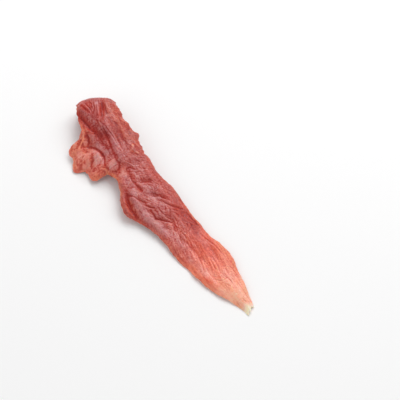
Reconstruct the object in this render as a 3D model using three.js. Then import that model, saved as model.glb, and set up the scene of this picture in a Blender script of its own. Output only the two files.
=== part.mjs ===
// One dried duck breast fillet: a leathery strip of meat, a single solid.
//
// Millimetres, +Z up. The strip lies along X, its wide upper end at -X and its narrow pale tip at +X.
// The upper end rolls down over a crest to the surface that the strip lies on, a thin lobe droops on the
// -Y side, behind it the strip narrows to a neck, and the long leaf in front of the neck lies flat.
// The origin is the middle of the underside of the bounding box.
//
// The solid is one box with many segments. Its length is carried along the outline's ribs, its width
// across them, and its height becomes the thickness of the meat.

import * as THREE from 'three';
import { mergeVertices } from 'three/addons/utils/BufferGeometryUtils.js';

// Driving dimensions, in millimetres.
const MEAT_THICKNESS = 3.7; // middle of the leaf
const RIM_THICKNESS = 1.1; // dried edge all round
const LEAST_THICKNESS = 0.8; // at the bottom of any furrow
const LOBE_THINNING = 0.45; // share by which the drooping lobe is thinner
const RIM_BULGE = 0.35; // how far the rim is rounded outwards
const LENGTH = 165; // end to end along the bent sheet
const TIP_TAPER = 14; // length over which the tip thins
const BACK_TAPER = 9; // length over which the back end thins
const ROLL_RADIUS = 9; // bend of the upper end over its crest
const ROLL_ANGLE = THREE.MathUtils.degToRad(75); // how far round it goes before it runs straight down
const CREST = new THREE.Vector2(-66.5, 6.5); // a point of the line where the roll starts
const CREST_HEADING = THREE.MathUtils.degToRad(156); // direction in plan in which the end rolls down
const CREST_HEIGHT = 13; // middle of the meat at the crest

// Segments along the strip, across it and through its edge.
const SEGMENTS_LONG = 124;
const SEGMENTS_WIDE = 17;
const SEGMENTS_RIM = 2;

// Ribs of the sheet from the back end to the tip: position and height of the middle of the meat at the
// -Y edge, then at the +Y edge. Behind the crest the sheet is drawn unrolled.
const RIBS = [
  [-85.9, 8.6, 13, -80.7, 19.1, 13],
  [-80.5, 4, 13, -74.5, 19.8, 13],
  [-75, 1.6, 12.8, -67.6, 18.6, 12.8],
  [-70.6, -1.6, 12.3, -61.8, 17, 12.4],
  [-65, -3, 11.2, -55.5, 16.3, 11.8],
  [-59.6, -5, 9.9, -51.3, 16, 11.3],
  [-57, -7.6, 8, -47.8, 16.1, 10.8],
  [-57, -11.2, 5.4, -44.9, 16.6, 10.4],
  [-55.8, -14.7, 3.2, -42.9, 17.2, 10.1],
  [-51, -15.2, 2.3, -41.4, 17.4, 9.9],
  [-44.6, -17.4, 1.1, -40.1, 16.6, 9.7],
  [-41, -13.8, 1.6, -39, 15.9, 9.5],
  [-36.8, -13.4, 1.9, -37.9, 15.6, 9.4],
  [-32.7, -12.3, 2.6, -37, 15.4, 9.3],
  [-32.2, -9, 3.7, -36, 15, 9.2],
  [-31.6, -6.3, 4.5, -34.2, 14.6, 9.1],
  [-28.8, -4.6, 5.2, -30.4, 14.4, 8.9],
  [-24, -4.9, 5.9, -25.6, 14.4, 8.4],
  [-18, -6.9, 6.2, -19, 13.8, 7.8],
  [-11, -10.4, 5.4, -11.5, 14.5, 6.9],
  [-4.8, -11.1, 4.1, -4.5, 15.9, 6],
  [1.2, -7.9, 3.2, 2.5, 15.4, 5.3],
  [9, -5.2, 2.3, 10, 15.1, 4.4],
  [18, -3.4, 1.6, 18.5, 15.7, 3.7],
  [27, -3.3, 1.4, 27, 16.3, 3.2],
  [36, -2, 1.4, 35, 18.1, 2.9],
  [45, -1, 1.4, 42, 18.8, 2.8],
  [54, 0.9, 1.3, 51, 16.7, 2.4],
  [62, 4.3, 1.1, 59.5, 15, 1.9],
  [68.3, 6.8, 0.9, 66.5, 13.3, 1.2],
  [73.6, 7.8, 0.7, 70.3, 12.3, 0.8],
];

// Rise of the middle over its two edges, at stations [x, rise].
const CROWN = [
  [-90, 0.5], [-64, 1.5], [-48, 3], [-34, 2.6], [-24, 0.9], [0, 0.8], [20, 0], [40, -0.3], [60, 0.3],
];
// Share of the full thickness.
const FULLNESS = [[-90, 0.62], [-70, 0.8], [-48, 0.8], [-25, 0.95], [0, 1], [40, 1], [60, 0.75], [80, 0.4]];

// Folds bend the whole sheet and furrows only its upper face: height, half width and path in plan.
const crease = (height, width, ...path) => ({ height, width, path });
const FOLDS = [
  crease(1.2, 3, [-66, 8], [-58, 5.5], [-53, 4.4], [-47, 5], [-41, 4.6], [-35, 3.5], [-27, 1]), // spine
  crease(-1.9, 2.3, [-74, -2.5], [-67, -1.8], [-62.5, -1.2], [-58, -1.2], [-52, 0.9]), // -Y side crease
  crease(-1, 1.9, [-71, 13], [-66, 10.7], [-60, 7.6], [-55.5, 4.6]), // valley down from the crest
  crease(-0.9, 1.5, [-58, -4], [-54.5, -4.4], [-51, -5.4], [-48, -7]),
  crease(0.8, 3.2, [-47, -11], [-43, -9]), // pads of the lobe
  crease(0.7, 2.8, [-41, -7.6], [-38, -6]),
  crease(0.7, 2.6, [-35, -1.8], [-31.5, -2.6]),
  crease(-0.8, 1.5, [-33, 0.6], [-29.5, -0.2], [-27.3, -2], [-29.5, -4]), // ring behind the last pad
  crease(0.9, 1.7, [-24, -4.6], [-17, -6.2], [-9, -10], [-2, -9.6]), // raised lip of the neck
  crease(-1.1, 1.7, [-14.5, -5.6], [-9.7, -7.4], [-5, -8], [1, -6.4]), // gutter inside that lip
  crease(0.8, 2.2, [-12, -3.6], [-5, -5], [1, -4.9], [8, -3.2], [16, -0.5], [27, 2]), // roll of the leaf
  crease(0.5, 1.6, [2, 15.2], [9, 15], [15, 15.2], [24, 15.8]), // lip along the leaf
];
const FURROWS = [
  crease(-0.7, 1.2, [-52.5, -8], [-48.3, -5.3], [-45, -4.1], [-41, -3.4], [-38, -4], [-35, -5.6]),
  crease(-0.55, 1.2, [-44, -7.6], [-41.6, -8.6], [-40.6, -10.6], [-37.4, -11]),
  crease(-0.5, 1.5, [-33.5, 8], [-30.5, 9]),
  crease(-0.45, 1.2, [-16.4, 1], [-15.7, 3.5], [-14.1, 6.1], [-12.8, 8.8]),
  crease(-0.8, 1.8, [-15, 0.2], [-12.1, 0.8], [-9.8, 1.7]),
  crease(-0.6, 1.2, [-10.3, -4], [-6.8, -2.3], [-3.7, -1.2], [-0.5, 0.2]),
  crease(-0.55, 1.2, [-7.5, 3], [-4, 7], [-0.5, 9.3]),
  crease(-0.55, 1.2, [-2.4, 5], [1.8, 7], [4.8, 8.9], [6.8, 12.5]),
  crease(-0.7, 1.2, [-0.8, -1.6], [3, -1.6], [5.5, -0.8], [7.8, 1.8], [11, 5.2]),
  crease(-0.5, 1.2, [8, 12.4], [13.6, 13], [20.1, 13.8], [27, 14.8]),
  crease(-0.35, 1.3, [17.5, 6], [21.7, 3.9], [32, 5], [46, 7.5]),
  crease(-0.35, 1.2, [24, 14], [29.3, 13.2], [35, 13.4]),
];

// Uneven surface and edge: size along the strip, size across it, height and seed of each layer.
const LUMPS = { long: 9, wide: 6.5, height: 0.55, seed: 11 };
const BUNDLES = { long: 26, wide: 3.4, height: 0.34, seed: 23 }; // muscle bundles run along the strip
const WRINKLES = { long: 4.6, wide: 13, height: 0.36, seed: 37 }; // short folds that cross the strip
const WRINKLE_SLANT = THREE.MathUtils.degToRad(38);
const LOBE = { x: -46, spread: 16 }; // lumpiest here
const NECK = { x: -2, spread: 20 }; // most wrinkled here
const EDGE_WAVES = { size: 14, height: 0.9, seed: 53 };
const RAGGED = [{ size: 5.2, reach: 0.75, seed: 71 }, { size: 2.4, reach: 0.45, seed: 83 }];
const RAGGEDNESS = [[-90, 1], [-34, 1], [-24, 0.6], [5, 0.4], [80, 0.4]]; // share of it along the strip
const RAGGED_END = { share: 0.025, teeth: 3.6, reach: 0.6, notch: 0.4, seed: 97 };
const UNDERSIDE_SHARE = 0.6; // the face that dried on the rack is smoother

const { clamp, lerp, smoothstep } = THREE.MathUtils;

// A repeatable random number from 0 to 1 for a grid point.
function scatter(column, row, seed) {
  let h = (Math.imul(column, 374761393) + Math.imul(row, 668265263) + Math.imul(seed, 1274126177)) | 0;
  h = Math.imul(h ^ (h >>> 13), 1274126177);
  h ^= h >>> 16;
  return (h >>> 0) / 2 ** 32;
}

// Gradient noise, from about -1 to 1 with features one unit in size.
function noise(x, y, seed) {
  const column = Math.floor(x);
  const row = Math.floor(y);
  const fx = x - column;
  const fy = y - row;
  const ease = (k) => k * k * k * (k * (k * 6 - 15) + 10);
  const slope = (i, j) => {
    const angle = 2 * Math.PI * scatter(column + i, row + j, seed);
    return Math.cos(angle) * (fx - i) + Math.sin(angle) * (fy - j);
  };
  const near = lerp(slope(0, 0), slope(1, 0), ease(fx));
  const far = lerp(slope(0, 1), slope(1, 1), ease(fx));
  return 1.5 * lerp(near, far, ease(fy));
}

// A bell of height 1 around a place.
const bell = (distance, spread) => Math.exp(-((distance / spread) ** 2));

// The value at x of a smooth line through stations [x, value].
function profile(stations, x) {
  let i = 0;
  while (i < stations.length - 2 && x > stations[i + 1][0]) i += 1;
  const [x0, a] = stations[i];
  const [x1, b] = stations[i + 1];
  return lerp(a, b, smoothstep(x, x0, x1));
}

// Height that a list of creases adds at a point in plan: each is a rounded ridge or groove along its
// path, and fades out towards both ends.
function creased(creases, x, y) {
  let sum = 0;
  for (const { path, height, width } of creases) {
    let nearest = Infinity;
    let along = 0;
    for (let i = 0; i < path.length - 1; i += 1) {
      const [ax, ay] = path[i];
      const dx = path[i + 1][0] - ax;
      const dy = path[i + 1][1] - ay;
      const k = clamp(((x - ax) * dx + (y - ay) * dy) / (dx * dx + dy * dy), 0, 1);
      const distance = Math.hypot(x - ax - k * dx, y - ay - k * dy);
      if (distance < nearest) {
        nearest = distance;
        along = (i + k) / (path.length - 1);
      }
    }
    sum += height * Math.sqrt(Math.sin(Math.PI * clamp(along, 0.04, 0.96))) * bell(nearest, width);
  }
  return sum;
}

// Unevenness of one face at a point in plan: face is 0 above and 1 below.
function relief(x, y, face) {
  const layer = ({ long, wide, height, seed }, u, v) => height * noise(u / long, v / wide, seed + face);
  const forwards = x * Math.cos(WRINKLE_SLANT) - y * Math.sin(WRINKLE_SLANT);
  const sideways = x * Math.sin(WRINKLE_SLANT) + y * Math.cos(WRINKLE_SLANT);
  return (
    layer(LUMPS, x, y) * (0.45 + 0.75 * bell(x - LOBE.x, LOBE.spread)) +
    layer(BUNDLES, x, y) +
    layer(WRINKLES, forwards, sideways) * (0.25 + bell(x - NECK.x, NECK.spread))
  );
}

// The two edges of the sheet as smooth curves.
const edges = [0, 3].map((k) => {
  const points = RIBS.map((rib) => new THREE.Vector3(...rib.slice(k, k + 3)));
  return new THREE.CatmullRomCurve3(points, false, 'catmullrom');
});

// How far the ragged edge stands out at a point of it.
function ragged({ x, y }) {
  const teeth = ({ size, reach, seed }) => reach * noise(x / size, y / size, seed);
  return profile(RAGGEDNESS, x) * RAGGED.reduce((sum, layer) => sum + teeth(layer), 0);
}

// Middle of the meat at a share of the length and of the width, still unrolled, with its thickness.
function sheet(long, wide) {
  const [minus, plus] = edges.map((edge) => edge.getPoint(long));
  const outwards = new THREE.Vector3(plus.x - minus.x, plus.y - minus.y, 0).normalize();
  const taper = Math.min(1, (long * LENGTH) / BACK_TAPER) * Math.min(1, ((1 - long) * LENGTH) / TIP_TAPER);
  minus.addScaledVector(outwards, -taper * ragged(minus));
  plus.addScaledVector(outwards, taper * ragged(plus));
  const flat = new THREE.Vector3().lerpVectors(minus, plus, wide);

  const fringe = Math.max(0, 1 - Math.min(long, 1 - long) / RAGGED_END.share);
  const teeth = RAGGED_END.reach * noise(wide * RAGGED_END.teeth, long * 7, RAGGED_END.seed);
  flat.x += Math.sign(long - 0.5) * fringe * (teeth - RAGGED_END.notch * Math.sin(Math.PI * wide));

  const side = Math.abs(wide - 0.5) * 2;
  const { size, height, seed } = EDGE_WAVES;
  const waves = height * side ** 2 * noise(flat.x / size, flat.y / size, seed);
  const crown = profile(CROWN, flat.x) * 4 * wide * (1 - wide);
  const mid = flat.z + crown + waves + creased(FOLDS, flat.x, flat.y);

  const lobe = smoothstep(-flat.y, 2, 12) * smoothstep(-flat.x, 28, 34);
  const body = (1 - side ** 2.6) ** 0.75 * profile(FULLNESS, flat.x) * (1 - LOBE_THINNING * lobe);
  const thickness = RIM_THICKNESS + (MEAT_THICKNESS - RIM_THICKNESS) * body * Math.sqrt(taper);
  return { flat, mid, thickness, outwards };
}

// Rolls the upper end down over the crest: beyond the crest line the sheet follows an arc and then runs
// straight down. Heights are measured from the middle of the meat at the crest.
function rolled(x, y, z) {
  const heading = new THREE.Vector2(Math.cos(CREST_HEADING), Math.sin(CREST_HEADING));
  const beyond = (x - CREST.x) * heading.x + (y - CREST.y) * heading.y;
  if (beyond <= 0) return new THREE.Vector3(x, y, z);
  const angle = Math.min(beyond / ROLL_RADIUS, ROLL_ANGLE);
  const straight = beyond - angle * ROLL_RADIUS;
  const axis = CREST_HEIGHT - ROLL_RADIUS;
  const reach = (z - axis) * Math.sin(angle) + straight * Math.cos(angle) - beyond;
  const height = axis + (z - axis) * Math.cos(angle) - straight * Math.sin(angle);
  return new THREE.Vector3(x + heading.x * reach, y + heading.y * reach, height);
}

// A point of the surface, from a share of the length and of the width, and 0 for the lower face to 1 for
// the upper one. The relief fades towards the rim, and what lies lowest is pressed flat.
function skin(long, wide, face) {
  const { flat, mid, thickness, outwards } = sheet(long, wide);
  const fromSide = Math.min(1, 4 * Math.min(wide, 1 - wide) + 0.25);
  const fromEnd = Math.min(1, 12 * Math.min(long, 1 - long) + 0.2);
  const inner = fromSide * fromEnd;
  const upper = thickness / 2 + inner * (relief(flat.x, flat.y, 0) + creased(FURROWS, flat.x, flat.y));
  const lower = -thickness / 2 + inner * UNDERSIDE_SHARE * relief(flat.x, flat.y, 1);
  const bulge = RIM_BULGE * 4 * face * (1 - face);
  if (wide === 0 || wide === 1) flat.addScaledVector(outwards, (wide * 2 - 1) * bulge);
  if (long === 0 || long === 1) flat.x += (long * 2 - 1) * bulge;
  const under = Math.max(0, mid + Math.min(lower, upper - LEAST_THICKNESS));
  const over = Math.max(mid + upper, under + LEAST_THICKNESS);
  return rolled(flat.x, flat.y, lerp(under, over, face));
}

// The fillet as one closed shell that rests on the plane Z = 0.
function filletGeometry() {
  const box = new THREE.BoxGeometry(1, 1, 1, SEGMENTS_LONG, SEGMENTS_WIDE, SEGMENTS_RIM);
  box.deleteAttribute('normal');
  box.deleteAttribute('uv');
  const geometry = mergeVertices(box, 1e-6);
  const position = geometry.getAttribute('position');
  for (let i = 0; i < position.count; i += 1) {
    const point = skin(position.getX(i) + 0.5, position.getY(i) + 0.5, position.getZ(i) + 0.5);
    position.setXYZ(i, point.x, point.y, Math.max(0, point.z));
  }
  geometry.computeBoundingBox();
  const centre = geometry.boundingBox.getCenter(new THREE.Vector3());
  geometry.translate(-centre.x, -centre.y, 0);
  return geometry;
}

const driedMeat = new THREE.MeshStandardMaterial({ color: 0xb2574c, roughness: 0.45, metalness: 0 });
driedMeat.name = 'dried_meat';

const fillet = new THREE.Mesh(filletGeometry(), driedMeat);
fillet.name = 'fillet';

const part = new THREE.Group();
part.name = 'dried_duck_fillet';
part.add(fillet);

export default part;
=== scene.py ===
"""The looks of one dried duck breast fillet, and the stage that it lies on.

The strip is worked out in millimetres, in plan before its upper end is rolled down, with the same ribs,
folds and furrows as the solid that it covers, and is then set into the solid's box in metres.
"""

import math

import bpy
import numpy as np
from bpy.props import FloatProperty, FloatVectorProperty, PointerProperty
from bpy.types import Operator, Panel, PropertyGroup
from mathutils import Matrix, Vector


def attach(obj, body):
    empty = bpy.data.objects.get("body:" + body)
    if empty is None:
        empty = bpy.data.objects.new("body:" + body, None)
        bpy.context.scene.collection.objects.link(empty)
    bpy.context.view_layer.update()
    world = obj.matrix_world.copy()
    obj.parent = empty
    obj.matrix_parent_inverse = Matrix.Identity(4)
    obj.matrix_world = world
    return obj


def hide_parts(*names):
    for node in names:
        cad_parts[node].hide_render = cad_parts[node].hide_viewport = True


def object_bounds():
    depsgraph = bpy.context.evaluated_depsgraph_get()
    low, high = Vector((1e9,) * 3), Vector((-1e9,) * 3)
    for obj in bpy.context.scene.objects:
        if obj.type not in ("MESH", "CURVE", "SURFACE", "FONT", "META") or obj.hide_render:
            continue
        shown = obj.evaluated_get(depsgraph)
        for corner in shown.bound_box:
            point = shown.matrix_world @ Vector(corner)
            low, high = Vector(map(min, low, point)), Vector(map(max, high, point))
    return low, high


bl_info = {
    "name": "Dried Duck Fillet",
    "version": (1, 0, 0),
    "blender": (4, 5, 0),
    "location": "View3D > Sidebar > Dried Fillet",
    "description": "Builds a leathery dried duck breast fillet and a pale stage for it",
    "category": "Add Mesh",
}

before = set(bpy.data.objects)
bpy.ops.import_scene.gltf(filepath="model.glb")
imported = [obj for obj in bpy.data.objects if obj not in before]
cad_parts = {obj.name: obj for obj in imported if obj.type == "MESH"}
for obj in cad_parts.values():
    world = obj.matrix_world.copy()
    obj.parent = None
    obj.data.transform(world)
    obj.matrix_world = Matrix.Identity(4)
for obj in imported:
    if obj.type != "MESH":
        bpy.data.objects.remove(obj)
CAD_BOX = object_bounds()
MM = 0.001

# The strip's own dimensions in millimetres, and the share of its body that the lobe lacks.
MEAT_THICKNESS = 3.7
RIM_THICKNESS = 1.1
LEAST_THICKNESS = 0.8
LOBE_THINNING = 0.45
LENGTH = 165
TIP_TAPER = 14
BACK_TAPER = 9
# The roll of the upper end: a point of the crest line, the way beyond it, and the height of its top.
ROLL_RADIUS = 9
ROLL_ANGLE = math.radians(75)
CREST = (-66.5, 6.5)
CREST_HEADING = math.radians(156)
CREST_HEIGHT = 13
# Middle of the solid's box in plan, counted from the point that all places below are counted from.
BOX_MIDDLE = (-2.59, 0.522)

# Ribs of the sheet from the back end to the tip: the middle of the meat at the -Y edge, then the +Y edge.
RIBS = np.array([
    [-85.9, 8.6, 13, -80.7, 19.1, 13],
    [-80.5, 4, 13, -74.5, 19.8, 13],
    [-75, 1.6, 12.8, -67.6, 18.6, 12.8],
    [-70.6, -1.6, 12.3, -61.8, 17, 12.4],
    [-65, -3, 11.2, -55.5, 16.3, 11.8],
    [-59.6, -5, 9.9, -51.3, 16, 11.3],
    [-57, -7.6, 8, -47.8, 16.1, 10.8],
    [-57, -11.2, 5.4, -44.9, 16.6, 10.4],
    [-55.8, -14.7, 3.2, -42.9, 17.2, 10.1],
    [-51, -15.2, 2.3, -41.4, 17.4, 9.9],
    [-44.6, -17.4, 1.1, -40.1, 16.6, 9.7],
    [-41, -13.8, 1.6, -39, 15.9, 9.5],
    [-36.8, -13.4, 1.9, -37.9, 15.6, 9.4],
    [-32.7, -12.3, 2.6, -37, 15.4, 9.3],
    [-32.2, -9, 3.7, -36, 15, 9.2],
    [-31.6, -6.3, 4.5, -34.2, 14.6, 9.1],
    [-28.8, -4.6, 5.2, -30.4, 14.4, 8.9],
    [-24, -4.9, 5.9, -25.6, 14.4, 8.4],
    [-18, -6.9, 6.2, -19, 13.8, 7.8],
    [-11, -10.4, 5.4, -11.5, 14.5, 6.9],
    [-4.8, -11.1, 4.1, -4.5, 15.9, 6],
    [1.2, -7.9, 3.2, 2.5, 15.4, 5.3],
    [9, -5.2, 2.3, 10, 15.1, 4.4],
    [18, -3.4, 1.6, 18.5, 15.7, 3.7],
    [27, -3.3, 1.4, 27, 16.3, 3.2],
    [36, -2, 1.4, 35, 18.1, 2.9],
    [45, -1, 1.4, 42, 18.8, 2.8],
    [54, 0.9, 1.3, 51, 16.7, 2.4],
    [62, 4.3, 1.1, 59.5, 15, 1.9],
    [68.3, 6.8, 0.9, 66.5, 13.3, 1.2],
    [73.6, 7.8, 0.7, 70.3, 12.3, 0.8],
])
# Along the strip, as place and value: how far the middle bulges up, and how full the meat is.
CROWN = [(-90, 0.5), (-64, 1.5), (-48, 3), (-34, 2.6), (-24, 0.9), (0, 0.8), (20, 0), (40, -0.3), (60, 0.3)]
FULLNESS = [(-90, 0.62), (-70, 0.8), (-48, 0.8), (-25, 0.95), (0, 1), (40, 1), (60, 0.75), (80, 0.4)]

# Folds bend the whole sheet, and furrows cut its upper face: height, half width, then the path in plan.
FOLDS = [
    (1.2, 3, (-66, 8), (-58, 5.5), (-53, 4.4), (-47, 5), (-41, 4.6), (-35, 3.5), (-27, 1)),
    (-1.9, 2.3, (-74, -2.5), (-67, -1.8), (-62.5, -1.2), (-58, -1.2), (-52, 0.9)),
    (-1, 1.9, (-71, 13), (-66, 10.7), (-60, 7.6), (-55.5, 4.6)),
    (-0.9, 1.5, (-58, -4), (-54.5, -4.4), (-51, -5.4), (-48, -7)),
    (0.8, 3.2, (-47, -11), (-43, -9)),
    (0.7, 2.8, (-41, -7.6), (-38, -6)),
    (0.7, 2.6, (-35, -1.8), (-31.5, -2.6)),
    (-0.8, 1.5, (-33, 0.6), (-29.5, -0.2), (-27.3, -2), (-29.5, -4)),
    (0.9, 1.7, (-24, -4.6), (-17, -6.2), (-9, -10), (-2, -9.6)),
    (-1.1, 1.7, (-14.5, -5.6), (-9.7, -7.4), (-5, -8), (1, -6.4)),
    (0.8, 2.2, (-12, -3.6), (-5, -5), (1, -4.9), (8, -3.2), (16, -0.5), (27, 2)),
    (0.5, 1.6, (2, 15.2), (9, 15), (15, 15.2), (24, 15.8)),
]
FURROWS = [
    (-0.7, 1.2, (-52.5, -8), (-48.3, -5.3), (-45, -4.1), (-41, -3.4), (-38, -4), (-35, -5.6)),
    (-0.55, 1.2, (-44, -7.6), (-41.6, -8.6), (-40.6, -10.6), (-37.4, -11)),
    (-0.5, 1.5, (-33.5, 8), (-30.5, 9)),
    (-0.45, 1.2, (-16.4, 1), (-15.7, 3.5), (-14.1, 6.1), (-12.8, 8.8)),
    (-0.8, 1.8, (-15, 0.2), (-12.1, 0.8), (-9.8, 1.7)),
    (-0.6, 1.2, (-10.3, -4), (-6.8, -2.3), (-3.7, -1.2), (-0.5, 0.2)),
    (-0.55, 1.2, (-7.5, 3), (-4, 7), (-0.5, 9.3)),
    (-0.55, 1.2, (-2.4, 5), (1.8, 7), (4.8, 8.9), (6.8, 12.5)),
    (-0.7, 1.2, (-0.8, -1.6), (3, -1.6), (5.5, -0.8), (7.8, 1.8), (11, 5.2)),
    (-0.5, 1.2, (8, 12.4), (13.6, 13), (20.1, 13.8), (27, 14.8)),
    (-0.35, 1.3, (17.5, 6), (21.7, 3.9), (32, 5), (46, 7.5)),
    (-0.35, 1.2, (24, 14), (29.3, 13.2), (35, 13.4)),
]

# Uneven layers: size along the strip, size across it, height, seed.
LUMPS = (9, 6.5, 0.55, 11)
BUNDLES = (26, 3.4, 0.34, 23)
WRINKLES = (4.6, 13, 0.36, 37)
WRINKLE_SLANT = math.radians(38)
# Where the lumps, the wrinkles and the pimples are strongest along the strip, and how far they spread.
LOBE = (-46, 16)
NECK = (-2, 20)
PIMPLED = (-50, 18)
# Waves of the edge, and the layers of its ragged line: size, height or reach, seed.
EDGE_WAVES = (14, 0.9, 53)
RAGGED = [(5.2, 0.75, 71), (2.4, 0.45, 83)]
RAGGEDNESS = [(-90, 1), (-34, 1), (-24, 0.6), (5, 0.4), (80, 0.4)]
# Torn ends: share of the length, teeth across and along, their reach, and the notch in the middle.
RAGGED_END = {"share": 0.025, "teeth": (3.6, 7), "reach": 0.6, "notch": 0.4, "seed": 97}
UNDERSIDE_SHARE = 0.6

# The fine surface: cells along the strip, across its upper face and round its rim.
CELLS_LONG = 660
CELLS_UPPER = 92
CELLS_LOWER = CELLS_UPPER // 2
CELLS_RIM = 5
# Turns of the rows that close each end, and how many rows back the end's direction is taken from.
CAP_TURNS = np.radians([25, 50, 72])
CAP_BACK = 4
# Samples of the length from which evenly spaced rows are found.
LENGTH_SAMPLES = 2001
# Finer layers of the ragged line: size, reach, seed.
FRAYED = [(3.1, 0.22, 109), (1.3, 0.16, 111), (0.6, 0.1, 113)]
# How much the upper face sinks at the edge, and how far in from it.
EDGE_THINNING = (0.5, 1.6)
# Thickness that the detail of the upper and of the lower face leaves at least.
LEAST_LEFT = (0.45, 0.5)
# How far the rims bulge out, as a share of half their height.
RIM_BULGE = 0.9

# How the muscle fibres run: place in plan and heading in degrees.
FIBRE_STROKES = [
    (-78, 6, -4), (-74, 0, 2), (-72, 8, -25), (-70, 14, -12), (-64, 4, -40), (-60, 12, -12),
    (-52, 4, -4), (-45, 12, -8), (-44, -10, -28), (-52, -10, -35), (-36, 3, 3), (-30, 10, -6),
    (-24, -3, -12), (-15, 10, -4), (-5, -6, -4), (0, 5, -10), (12, 8, -14), (15, 0, -10),
    (30, 6, -10), (32, 15, 2), (45, 8, -8), (50, 2, 6), (58, 10, -2), (66, 9, 8),
]
# How the short skin wrinkles run across the fibres.
WRINKLE_STROKES = [
    (-70, 8, 60), (-50, 8, 50), (-48, -10, 40), (-30, 4, 42), (-18, 4, 58), (-9, 0, 30), (-6, 9, 48),
    (1, 0, 28), (4, 9, 62), (12, -1, 20), (18, 6, 30), (40, 6, 40), (60, 8, 50),
]
# How far each kind of line strays from those directions.
FIBRE_WOBBLE = math.radians(16)
WRINKLE_WOBBLE = math.radians(20)
STRAND_WOBBLE = math.radians(34)
# Layers of streaks: width, length, seed. Hairlines also have the spread of their lines in cells.
FIBRES_ABOVE = [(1.5, 8, 201), (0.8, 5, 202), (0.45, 3.5, 203)]
FIBRES_BELOW = [(1.9, 9, 301), (0.9, 5, 302)]
FOLD_LAYERS = [(2.1, 14, 204), (1.1, 9, 208)]
RAISED_STRANDS = (1.7, 12, 213)
SUNK_STRANDS = (1.7, 12, 223)
HAIRLINES = [(2.3, 14, 209, 1.2), (1.4, 9, 211, 0.9)]

# Paths in plan that both the relief and the colours follow.
FAN_STREAK = ((-72.7, 1.4), (-68.3, 1.8), (-63.6, 2.7))
LOBE_RIDGE = ((-57, -5.3), (-55.1, -6.5), (-53.8, -8.6), (-52, -11.3))
LOBE_LINE = ((-34.8, -7.7), (-32.4, -6.2), (-29.1, -4.7), (-25, -4.3), (-20.8, -4.7))
SMALL_PAD = ((-34.6, -2.4), (-31.5, -2.8))
PAD_RING = ((-33.4, -0.2), (-31, 0.4), (-29, -1.1), (-28.7, -2.7), (-31.1, -4.8))
LONG_WART = ((-36.9, 11.3), (-35, 10.4))
ROUND_WART = ((-31.3, 10.5), (-29.9, 11))
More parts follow.
